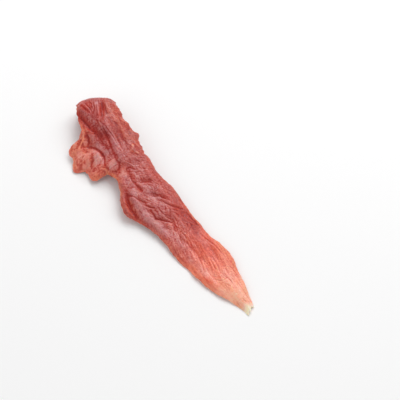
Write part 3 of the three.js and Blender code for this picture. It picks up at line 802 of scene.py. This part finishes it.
def hairlines(x, y):
    """Thin wrinkles, 0 to 1: two sets of zero lines of long streaky noise, in patches."""
    total = np.zeros_like(x)
    for width, length, seed, spread in HAIRLINES:
        wave = streaks(WRINKLE_STROKES, WRINKLE_WOBBLE, x, y, width, length, seed)
        patches = smooth(noise(x / 3.4, y / 2.6, seed + 1), -0.1, 0.45)
        total = np.maximum(total, lines(wave, spread) * patches)
    return total * profile(WRINKLED_ALONG, x)


def on_lobe(x, y):
    """1 on the drooping lobe, 0 elsewhere, and eased between."""
    return smooth(-y, 1, 10) * smooth(-x, 27, 33)


def mottled(x, y, seed):
    """Soft clouds in two sizes, about -1.6 to 1.6."""
    return noise(x / 5, y / 4, seed) + 0.6 * noise(x / 2.1, y / 1.7, seed + 1)


def upper_detail(shape, x, y):
    """Extra height of the upper face in millimetres, and the streaks and strands that its colours follow.

    The height is a sum of three widths of fibre streaks, two widths of folds in patches, strands and thin
    wrinkles, small lumps, and the narrow creases, each with a soft shoulder on both sides.
    """
    broad, middle, fine = [
        streaks(FIBRE_STROKES, FIBRE_WOBBLE, x, y, *layer) for layer in FIBRES_ABOVE
    ]
    stringy = profile(STRINGY_ALONG, x) * (1 - 0.6 * on_lobe(x, y))
    fibres = shape.fibres / MM * stringy * (broad + 0.7 * middle + 0.5 * fine)
    streak = (0.35 + 0.8 * stringy) * (0.4 * broad + 0.5 * middle + 0.55 * fine)

    folded = profile(FOLDED_ALONG, x) * (0.35 + 0.65 * smooth(noise(x / 7, y / 7, 205), -0.5, 0.35))
    wide_folds, small_folds = [folds(x, y, layer) for layer in FOLD_LAYERS]
    wrinkles = shape.wrinkles / MM * folded * (wide_folds + 0.35 * small_folds - 1)
    lively = 1 - np.clip(creased(CALM_PATCHES, x, y), 0, 1)
    strand = strands(x, y) * (0.4 + 0.6 * lively)
    wrinkles = lively * (wrinkles + shape.hairlines / MM * (0.5 * strand - hairlines(x, y)))
    creases = creased(FINE_CREASES + FINE_RIDGES, x, y)
    shoulders = creased([(-0.25 * depth, 2.4 * width, *path) for depth, width, *path in FINE_CREASES], x, y)

    pimpled = 0.15 + 0.85 * bell(x - PIMPLED[0], PIMPLED[1])
    lumps = noise(x / 2.9, y / 2.4, 206) + 0.5 * noise(x / 1.5, y / 1.3, 207)
    pimples = shape.pimples / MM * pimpled * lumps
    return fibres + wrinkles + pimples + creases + shoulders, streak, strand


def lower_detail(shape, x, y):
    """How far fibres and small lumps stand out below in millimetres, and the streaks of its colours."""
    broad, fine = [streaks(FIBRE_STROKES, FIBRE_WOBBLE, x, y, *layer) for layer in FIBRES_BELOW]
    pimples = shape.pimples / MM * 0.4 * noise(x / 2.6, y / 2.2, 303)
    return shape.fibres / MM * (broad + 0.7 * fine) + pimples, 0.6 * broad + 0.6 * fine


def upper_zones(x, y, height, streak, strand, side):
    """Shares of bloom, blood, amber, cream, coral and peach on the upper face, and its lightness.

    Bloom is dusty mauve, and also painted sheen on ridges and raised strands. Blood is dark red, and also
    painted shade in the hollows. A hollow is where the face lies below its own blurred copy. Amber at the
    rim paints the glow of thin meat, and glints paint highlights on two warts. Each share is its patches
    plus noise, times its strength along the strip, where side is the distance from the edge in millimetres.
    Clouds of bloom lie along the leaf. The lightness holds painted shade in the hollows and painted
    highlights on the strands.
    """

    def sunk(cells, depth):
        return smooth(side, 0.3, 2) * eased((blurred(height, cells) - height) / depth)

    fine_hollow = sunk(*FINE_HOLLOW)
    hollow = sunk(*HOLLOW) * profile(CRISP_ALONG, x)
    broad_hollow = sunk(*BROAD_HOLLOW)
    mottle = mottled(x, y, 401)
    speckle = noise(x / 1.1, y / 0.95, 403)
    glint = creased(GLINT_PATCHES, x, y)
    lobe = on_lobe(x, y)

    # Bloom: dusty mauve in patches and clouds, and painted sheen that leaves the hollows and lies on the
    # strands.
    bloom = creased(BLOOM_AND_SHEEN_PATCHES, x, y) * (1 + 0.25 * mottle) + 0.1 * mottle
    bloom = bloom - 0.28 * hollow - 0.04 * broad_hollow + 0.08 * streak + 0.08 * speckle + 0.22 * strand
    on_leaf = smooth(x, 16, 34) * smooth(-x, -72, -62)
    cloudy = smooth(noise(x / 8, y / 4.5, 407), -0.1, 0.6) * on_leaf
    bloom = (bloom + 0.12 * lobe + 0.42 * cloudy) * profile(BLOOM_AND_SHEEN_ALONG, x)

    # Blood: dark red patches, and painted shade that fills the hollows.
    blood_and_shade = creased(BLOOD_AND_SHADE_PATCHES, x, y) * (1 - 0.12 * speckle)
    blood_and_shade = blood_and_shade + 0.5 * np.maximum(0, hollow) + 0.08 * np.maximum(0, broad_hollow) - 0.06 * streak
    blood_and_shade = blood_and_shade * profile(BLOOD_AND_SHADE_ALONG, x) + 0.07 * mottle - 0.03

    # Painted glow of the thin rim, in amber.
    rim = 0.35 * bell(side, 0.8) * (0.8 + 0.8 * mottle) + 0.2 * bell(side, 2.4) * (0.7 + 0.5 * mottle)
    amber_and_glow = creased(AMBER_AND_GLOW_PATCHES, x, y) * (0.9 + 0.3 * mottle) + 0.6 * rim
    amber_and_glow = amber_and_glow + 0.06 * speckle + 0.1 * noise(x / 3.6, y / 2.8, 404) * profile(WARM_ALONG, x)

    # The painted glints on the warts push the other colours aside.
    bloom, blood_and_shade, amber_and_glow = [each * (1 - glint) for each in (bloom, blood_and_shade, amber_and_glow)]
    cream = smooth(x + 1.2 * mottle + 0.05 * (y - 10) ** 2, *CREAM_FROM) + creased(CREAM_PATCHES, x, y)
    coral = profile(CORAL_ALONG, x + 0.9 * (y - 6) + 4 * mottle) + 0.1 * mottle + 0.55 * lobe
    coral = coral + creased(PALE_PATCHES, x, y)
    peach = profile(PEACH_ALONG, x + 0.5 * (y - 6) + 3 * mottle) + glint - creased(CORAL_PATCHES, x, y)
    peach = peach + lobe * (0.22 + 0.08 * mottle)
    # Lightness: painted shade in the hollows, painted glow at the edge and painted highlights on the raised
    # strands.
    light = profile(LIGHT_ALONG, x) + 0.11 * streak + 0.12 * speckle + 0.02 * mottle
    light = light - 0.14 * hollow - 0.1 * fine_hollow - creased(SHADE_PATCHES, x, y)
    light = light + 0.06 * bell(side, 0.5) + 0.1 * lobe + 0.2 * strand
    return [np.clip(each, 0, 1) for each in (bloom, blood_and_shade, amber_and_glow, cream, coral, peach, 0.5 + light)]


def lower_zones(x, y, streak, rim_amber_and_glow):
    """The same shares on the lower face: a little bloom and blood in clouds, and the amber of the rims with
    its painted glow.
    """
    mottle = mottled(x, y, 405)
    return [
        0.25 + 0.1 * mottle,
        (0.3 + 0.25 * mottle) * smooth(-x, -45, -20),
        rim_amber_and_glow * 0.8,
        smooth(x + 1.2 * mottle, *CREAM_FROM_BELOW),
        profile(CORAL_ALONG, x + 4 * mottle),
        profile(PEACH_ALONG, x + 3 * mottle),
        0.5 + 0.07 * streak + 0.05 * mottle,
    ]


def fillet_surface(shape):
    """The closed surface as a grid of rows along the strip and a ring round it, with two attributes.

    Upper and lower face are grids over shares of length and width. The rims are half ellipses between their
    outer columns, and each end is closed by rows that shrink onto the middle as they move out. The detail
    fades towards the edge and the ends.
    """
    layers = RAGGED + FRAYED
    share = even_shares()
    long, wide = np.meshgrid(share, np.linspace(0, 1, CELLS_UPPER + 1), indexing="ij")
    x, y, under, over, outwards = faces(long, wide, layers)
    height, streak, strand = upper_detail(shape, x, y)
    edge_width = np.linalg.norm(edge(3, long) - edge(0, long), axis=-1)
    side = np.minimum(wide, 1 - wide) * edge_width
    end = np.minimum(long, 1 - long) * LENGTH
    inner = smooth(side, -0.6, 2) * smooth(end, -1, 3)
    thinning = EDGE_THINNING[0] * bell(side, EDGE_THINNING[1])
    fine_over = np.maximum(over + inner * height - thinning, under + LEAST_LEFT[0])
    upper = rolled(x, y, fine_over)
    upper_mid = rolled(x, y, (over + under) / 2)
    zones = upper_zones(x, y, fine_over, streak, strand, side)

    low_long, low_wide = np.meshgrid(share, np.linspace(1, 0, CELLS_LOWER + 1), indexing="ij")
    lx, ly, low_under, low_over, _ = faces(low_long, low_wide, layers)
    low_height, low_streak = lower_detail(shape, lx, ly)
    low_height = low_height * inner[:, ::-2] * smooth(low_under, 0, 0.6)
    low_under = np.clip(low_under - low_height, 0, low_over - LEAST_LEFT[1])
    lower = rolled(lx, ly, low_under)
    lower_mid = rolled(lx, ly, (low_over + low_under) / 2)

    turn = np.pi * np.arange(1, CELLS_RIM) / CELLS_RIM

    def rim(top, bottom, out):
        """Half an ellipse from the top to the bottom column, bulging out."""
        middle = (top + bottom)[:, None] / 2
        half = (top - bottom)[:, None] / 2
        out = out[:, None] * np.linalg.norm(half, axis=-1, keepdims=True) * RIM_BULGE
        return middle + half * np.cos(turn)[:, None] + out * np.sin(turn)[:, None]

    plus_rim = rim(upper[:, -1], lower[:, 0], outwards[:, -1])
    minus_rim = rim(upper[:, 0], lower[:, -1], -outwards[:, 0])[:, ::-1]
    ring = np.concatenate([upper, plus_rim, lower, minus_rim], 1)
    plus_mid = np.repeat((upper[:, -1:] + lower[:, :1]) / 2, CELLS_RIM - 1, 1)
    minus_mid = np.repeat((upper[:, :1] + lower[:, -1:]) / 2, CELLS_RIM - 1, 1)
    middle = np.concatenate([upper_mid, plus_mid, lower_mid, minus_mid], 1)

    def cap(row, next_row):
        """Rows that close an end: the ring shrinks onto its middle by cos while it moves out by sin.

        The next row, a few further in, gives the way out.
        """
        forwards = middle[row].mean(0) - middle[next_row].mean(0)
        forwards /= np.linalg.norm(forwards)
        half = np.linalg.norm(ring[row] - middle[row], axis=1).mean()
        shrink = np.cos(CAP_TURNS)[:, None, None]
        push = half * np.sin(CAP_TURNS)[:, None, None] * forwards
        return middle[row] + (ring[row] - middle[row]) * shrink + push

    points = np.concatenate([cap(0, CAP_BACK)[::-1], ring, cap(-1, -1 - CAP_BACK)])
    points[..., 2] = np.maximum(points[..., 2], 0)

    def round_ring(over_field, under_field):
        """One value for every point of the ring: the rims keep their column's value."""
        plus = np.repeat(over_field[:, -1:], CELLS_RIM - 1, 1)
        minus = np.repeat(over_field[:, :1], CELLS_RIM - 1, 1)
        field = np.concatenate([over_field, plus, under_field, minus], 1)
        ends = len(CAP_TURNS)
        return np.concatenate([np.repeat(field[:1], ends, 0), field, np.repeat(field[-1:], ends, 0)])

    low_zones = lower_zones(lx, ly, low_streak, zones[2][:, ::-2])
    fields = [np.clip(round_ring(*pair), 0, 1) for pair in zip(zones, low_zones)]
    attributes = {
        "surface": np.stack(fields[:4], -1),
        "flesh": np.stack(fields[4:] + [np.ones_like(fields[0])], -1),
    }
    return points, attributes


def ring_faces(rows, count):
    """Quads of a grid closed round its ring, and the two end caps that bridge its upper and lower chain."""
    i, j = np.meshgrid(np.arange(rows - 1), np.arange(count), indexing="ij")
    k = (j + 1) % count
    quads = np.stack([i * count + j, (i + 1) * count + j, (i + 1) * count + k, i * count + k], -1)
    lower = CELLS_UPPER + CELLS_RIM
    cap = []
    for m in range(CELLS_LOWER):
        top = CELLS_UPPER - 2 * m
        cap.append([lower + m + 1, lower + m, top, top - 1, top - 2])
    cap.append(list(range(lower, CELLS_UPPER - 1, -1)))
    cap.append([0] + list(range(count - 1, lower + CELLS_LOWER - 1, -1)))
    last = (rows - 1) * count
    front = [[last + v for v in face] for face in cap]
    back = [face[::-1] for face in cap]
    return quads.reshape(-1, 4).tolist() + front + back


def mesh_object(name, points, polygons, attributes, material):
    """A smooth mesh object from arrays, with its point attributes and one material."""
    mesh = bpy.data.meshes.new(name)
    mesh.from_pydata(points.reshape(-1, 3), [], polygons)
    mesh.shade_smooth()
    for key, values in attributes.items():
        layer = mesh.attributes.new(key, "FLOAT_COLOR", "POINT")
        layer.data.foreach_set("color", values.astype(np.float32).ravel())
    mesh.materials.append(material)
    piece = bpy.data.objects.new(name, mesh)
    bpy.context.scene.collection.objects.link(piece)
    return piece


class Nodes:
    """A material's node tree, built one call a node."""

    def __init__(self, name):
        self.material = bpy.data.materials.new(name)
        self.material.use_nodes = True
        self.tree = self.material.node_tree
        self.shader = self.tree.nodes["Principled BSDF"]

    def add(self, kind, inputs=(), **settings):
        """A new node, with its settings and its inputs: a value is set, and an output is linked."""
        node = self.tree.nodes.new(kind)
        for key, value in settings.items():
            setattr(node, key, value)
        for key, value in dict(inputs).items():
            self.feed(node.inputs[key], value)
        return node

    def feed(self, socket, value):
        """Links an output to the socket, or sets its value."""
        if isinstance(value, bpy.types.NodeSocket):
            self.tree.links.new(value, socket)
        else:
            socket.default_value = value

    def channels(self, attribute):
        """The four channels of a colour attribute."""
        outputs = self.add("ShaderNodeAttribute", attribute_name=attribute).outputs
        split = self.add("ShaderNodeSeparateColor", {"Color": outputs["Color"]}).outputs
        return [*split, outputs["Alpha"]]

    def math(self, operation, a, b=0.0, clamp=False):
        """a and b joined by one arithmetic step."""
        node = self.add("ShaderNodeMath", {0: a, 1: b}, operation=operation, use_clamp=clamp)
        return node.outputs[0]

    def mix(self, factor, a, b, blend="MIX"):
        """Colour a turning into colour b by the factor."""
        node = self.add("ShaderNodeMix", data_type="RGBA", blend_type=blend)
        self.feed(node.inputs["Factor"], factor)
        self.feed(node.inputs[6], a)
        self.feed(node.inputs[7], b)
        return node.outputs[2]

    def noise(self, coordinates, scale, detail=3.0, roughness=0.55):
        """Noise from 0 to 1 at so many features a metre."""
        inputs = {"Vector": coordinates, "Scale": scale, "Detail": detail, "Roughness": roughness}
        return self.add("ShaderNodeTexNoise", inputs).outputs["Fac"]

    def span(self, value, low, high, to_low=0.0, to_high=1.0):
        """The value carried from one range to another."""
        inputs = {"Value": value, "From Min": low, "From Max": high, "To Min": to_low, "To Max": to_high}
        return self.add("ShaderNodeMapRange", inputs).outputs[0]


def rgba(value):
    """A colour property as a socket's four numbers."""
    return (*value, 1.0)


def dried_meat(finish):
    """Translucent dried meat: flesh, dusty bloom with painted sheen, dark creases with painted shade,
    orange edges with painted glow, and a cream tip.

    The attributes "surface" and "flesh" say where each colour lies, and speckles and clouds break them up.
    """
    nodes = Nodes("dried_meat_finish")
    place = nodes.add("ShaderNodeTexCoord").outputs["Object"]
    bloom_share, blood_and_shade_share, amber_and_glow_share, cream_share = nodes.channels("surface")
    coral_share, peach_share, light, _ = nodes.channels("flesh")

    speckle = nodes.noise(place, SPECKLE_SCALE, 2.0)
    cloud = nodes.noise(place, CLOUD_SCALE, 4.0, 0.6)
    coarse = nodes.span(coral_share, 0, 1, 0.21, 0.11)
    grain = nodes.math("MULTIPLY", nodes.span(speckle, 0.3, 0.7, -1, 1), coarse)
    clouded = nodes.span(cloud, 0.3, 0.7, -0.08, 0.08)
    uneven = nodes.math("ADD", clouded, nodes.math("MULTIPLY", grain, 0.4))

    flesh = nodes.mix(coral_share, rgba(finish.deep), rgba(finish.coral))
    flesh = nodes.mix(peach_share, flesh, rgba(finish.peach))
    # Bloom colour, which also paints the sheen of the ridges.
    bloom = nodes.mix(coral_share, rgba(finish.bloom), rgba(finish.pale_bloom))
    dusty_sheen = nodes.math("ADD", nodes.math("MULTIPLY", bloom_share, 0.85), uneven, clamp=True)
    flesh = nodes.mix(dusty_sheen, flesh, bloom)
    flesh = nodes.mix(amber_and_glow_share, flesh, rgba(finish.amber_and_glow))
    # Blood red, which also paints the shade of the creases.
    flesh = nodes.mix(nodes.math("MULTIPLY", blood_and_shade_share, 0.92), flesh, rgba(finish.blood_and_shade))
    # Lightness, which carries painted shade and painted highlights.
    lightness = nodes.span(light, 0, 1, 0.3, 1.7)
    lightness = nodes.math("ADD", lightness, nodes.math("MULTIPLY", grain, 1.3))
    red = nodes.math("POWER", lightness, RED_FADE)
    other = nodes.math("MINIMUM", lightness, nodes.math("POWER", lightness, OTHER_FADE))
    shade = nodes.add("ShaderNodeCombineColor", {0: red, 1: other, 2: other}).outputs[0]
    flesh = nodes.mix(1.0, flesh, shade, "MULTIPLY")
    cream = nodes.mix(nodes.span(cloud, 0.35, 0.65), rgba(finish.cream), rgba(finish.tan))
    flesh = nodes.mix(cream_share, flesh, cream)

    low, high = finish.roughness - 0.08, finish.roughness + 0.08
    rough = nodes.span(cloud, 0.3, 0.7, low, high)
    bump = nodes.add("ShaderNodeBump", {"Strength": 0.5, "Distance": 0.12 * MM, "Height": speckle})

    shader = nodes.shader
    nodes.feed(shader.inputs["Base Color"], flesh)
    nodes.feed(shader.inputs["Roughness"], rough)
    nodes.feed(shader.inputs["Normal"], bump.outputs[0])
    shader.subsurface_method = "RANDOM_WALK"
    shader.inputs["Subsurface Weight"].default_value = 0.7
    shader.inputs["Subsurface Radius"].default_value = (1.0, 0.32, 0.18)
    shader.inputs["Subsurface Scale"].default_value = finish.translucency
    shader.inputs["IOR"].default_value = 1.38
    shader.inputs["Coat Weight"].default_value = 0.12
    shader.inputs["Coat Roughness"].default_value = 0.16
    return nodes.material


class BuildFillet(Operator):
    """Build the dried fillet over its solid"""

    bl_idname = "dried_fillet.build"
    bl_label = "Build Fillet"

    def execute(self, context):
        scene = context.scene
        points, attributes = fillet_surface(scene.fillet_shape)
        centre = [(CAD_BOX[0][axis] + CAD_BOX[1][axis]) / 2 for axis in (0, 1)]
        points = points * MM
        points[..., :2] += np.array(centre) - np.array(BOX_MIDDLE) * MM
        polygons = ring_faces(*points.shape[:2])
        material = dried_meat(scene.fillet_finish)
        piece = mesh_object("fillet_meat", points, polygons, attributes, material)
        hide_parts("fillet")
        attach(piece, "root")
        return {"FINISHED"}


def floor_finish(tint):
    """A matt floor with a faint, wide unevenness."""
    nodes = Nodes("floor_finish")
    place = nodes.add("ShaderNodeTexCoord").outputs["Object"]
    cloud = nodes.noise(place, 6, 2.0)
    dim = tuple(0.985 * part for part in tint)
    nodes.feed(nodes.shader.inputs["Base Color"], nodes.mix(cloud, rgba(tint), rgba(dim)))
    nodes.shader.inputs["Roughness"].default_value = 0.85
    nodes.shader.inputs["Specular IOR Level"].default_value = 0.1
    return nodes.material


def aimed(eye, aim):
    """Matrix of a camera or lamp at eye that looks at aim, with its top towards +Z."""
    back = (eye - aim).normalized()
    right = Vector((0, 0, 1)).cross(back).normalized()
    up = back.cross(right)
    turn = Matrix((right, up, back)).transposed()
    return Matrix.Translation(eye) @ turn.to_4x4()


def towards(azimuth, elevation):
    """Unit vector towards an eye at these angles: azimuth 0 is -Y, and 90 degrees is +X."""
    flat = math.cos(elevation)
    return Vector((math.sin(azimuth) * flat, -math.cos(azimuth) * flat, math.sin(elevation)))


def lay_floor(tint):
    """A flat floor at Z = 0."""
    mesh = bpy.data.meshes.new("floor")
    corners = [(x * FLOOR_HALF, y * FLOOR_HALF, 0) for x, y in ((-1, -1), (1, -1), (1, 1), (-1, 1))]
    mesh.from_pydata(corners, [], [(0, 1, 2, 3)])
    mesh.materials.append(floor_finish(tint))
    floor = bpy.data.objects.new("floor", mesh)
    bpy.context.scene.collection.objects.link(floor)
    return floor


class SetStage(Operator):
    """Make the floor, the light and the camera"""

    bl_idname = "dried_fillet.stage"
    bl_label = "Set Stage"

    def execute(self, context):
        scene = context.scene
        stage = scene.fillet_stage
        floor = lay_floor(stage.floor)

        world = bpy.data.worlds.new("soft_light")
        world.use_nodes = True
        background = world.node_tree.nodes["Background"]
        background.inputs["Color"].default_value = (1, 1, 1, 1)
        background.inputs["Strength"].default_value = stage.sky
        scene.world = world

        aim = Vector(AIM) * MM
        for name, share, width, reach, azimuth, elevation in LAMPS:
            lamp = bpy.data.lights.new(name, "AREA")
            lamp.energy = stage.key * share
            lamp.size = width
            lamp_object = bpy.data.objects.new(name, lamp)
            eye = aim + reach * towards(math.radians(azimuth), math.radians(elevation))
            lamp_object.matrix_world = aimed(eye, aim)
            scene.collection.objects.link(lamp_object)

        camera = bpy.data.cameras.new("camera")
        camera.lens = stage.lens
        camera.sensor_width = 36
        camera.clip_start = 0.01
        camera_object = bpy.data.objects.new("camera", camera)
        eye = aim + stage.distance * towards(stage.azimuth, stage.elevation)
        camera_object.matrix_world = aimed(eye, aim)
        scene.collection.objects.link(camera_object)
        scene.camera = camera_object
        scene.view_settings.view_transform = "Standard"
        return {"FINISHED"}


class FilletPanel(Panel):
    """Lists the fillet's and the stage's settings"""

    bl_idname = "VIEW3D_PT_dried_fillet"
    bl_label = "Dried Fillet"
    bl_space_type = "VIEW_3D"
    bl_region_type = "UI"
    bl_category = "Dried Fillet"

    def draw(self, context):
        for group, operator in (
            (context.scene.fillet_shape, None),
            (context.scene.fillet_finish, BuildFillet),
            (context.scene.fillet_stage, SetStage),
        ):
            box = self.layout.box()
            for key in type(group).__annotations__:
                box.prop(group, key)
            if operator:
                box.operator(operator.bl_idname)


CLASSES = (FilletShape, FilletFinish, FilletStage, BuildFillet, SetStage, FilletPanel)


def register():
    """Registers the classes and their settings."""
    for each in CLASSES:
        bpy.utils.register_class(each)
    bpy.types.Scene.fillet_shape = PointerProperty(type=FilletShape)
    bpy.types.Scene.fillet_finish = PointerProperty(type=FilletFinish)
    bpy.types.Scene.fillet_stage = PointerProperty(type=FilletStage)


def unregister():
    """Removes the settings and the classes."""
    del bpy.types.Scene.fillet_stage
    del bpy.types.Scene.fillet_finish
    del bpy.types.Scene.fillet_shape
    for each in reversed(CLASSES):
        bpy.utils.unregister_class(each)


def main():
    """Builds the piece and the stage."""
    register()
    bpy.ops.dried_fillet.build()
    bpy.ops.dried_fillet.stage()


if __name__ == "__main__":
    main()
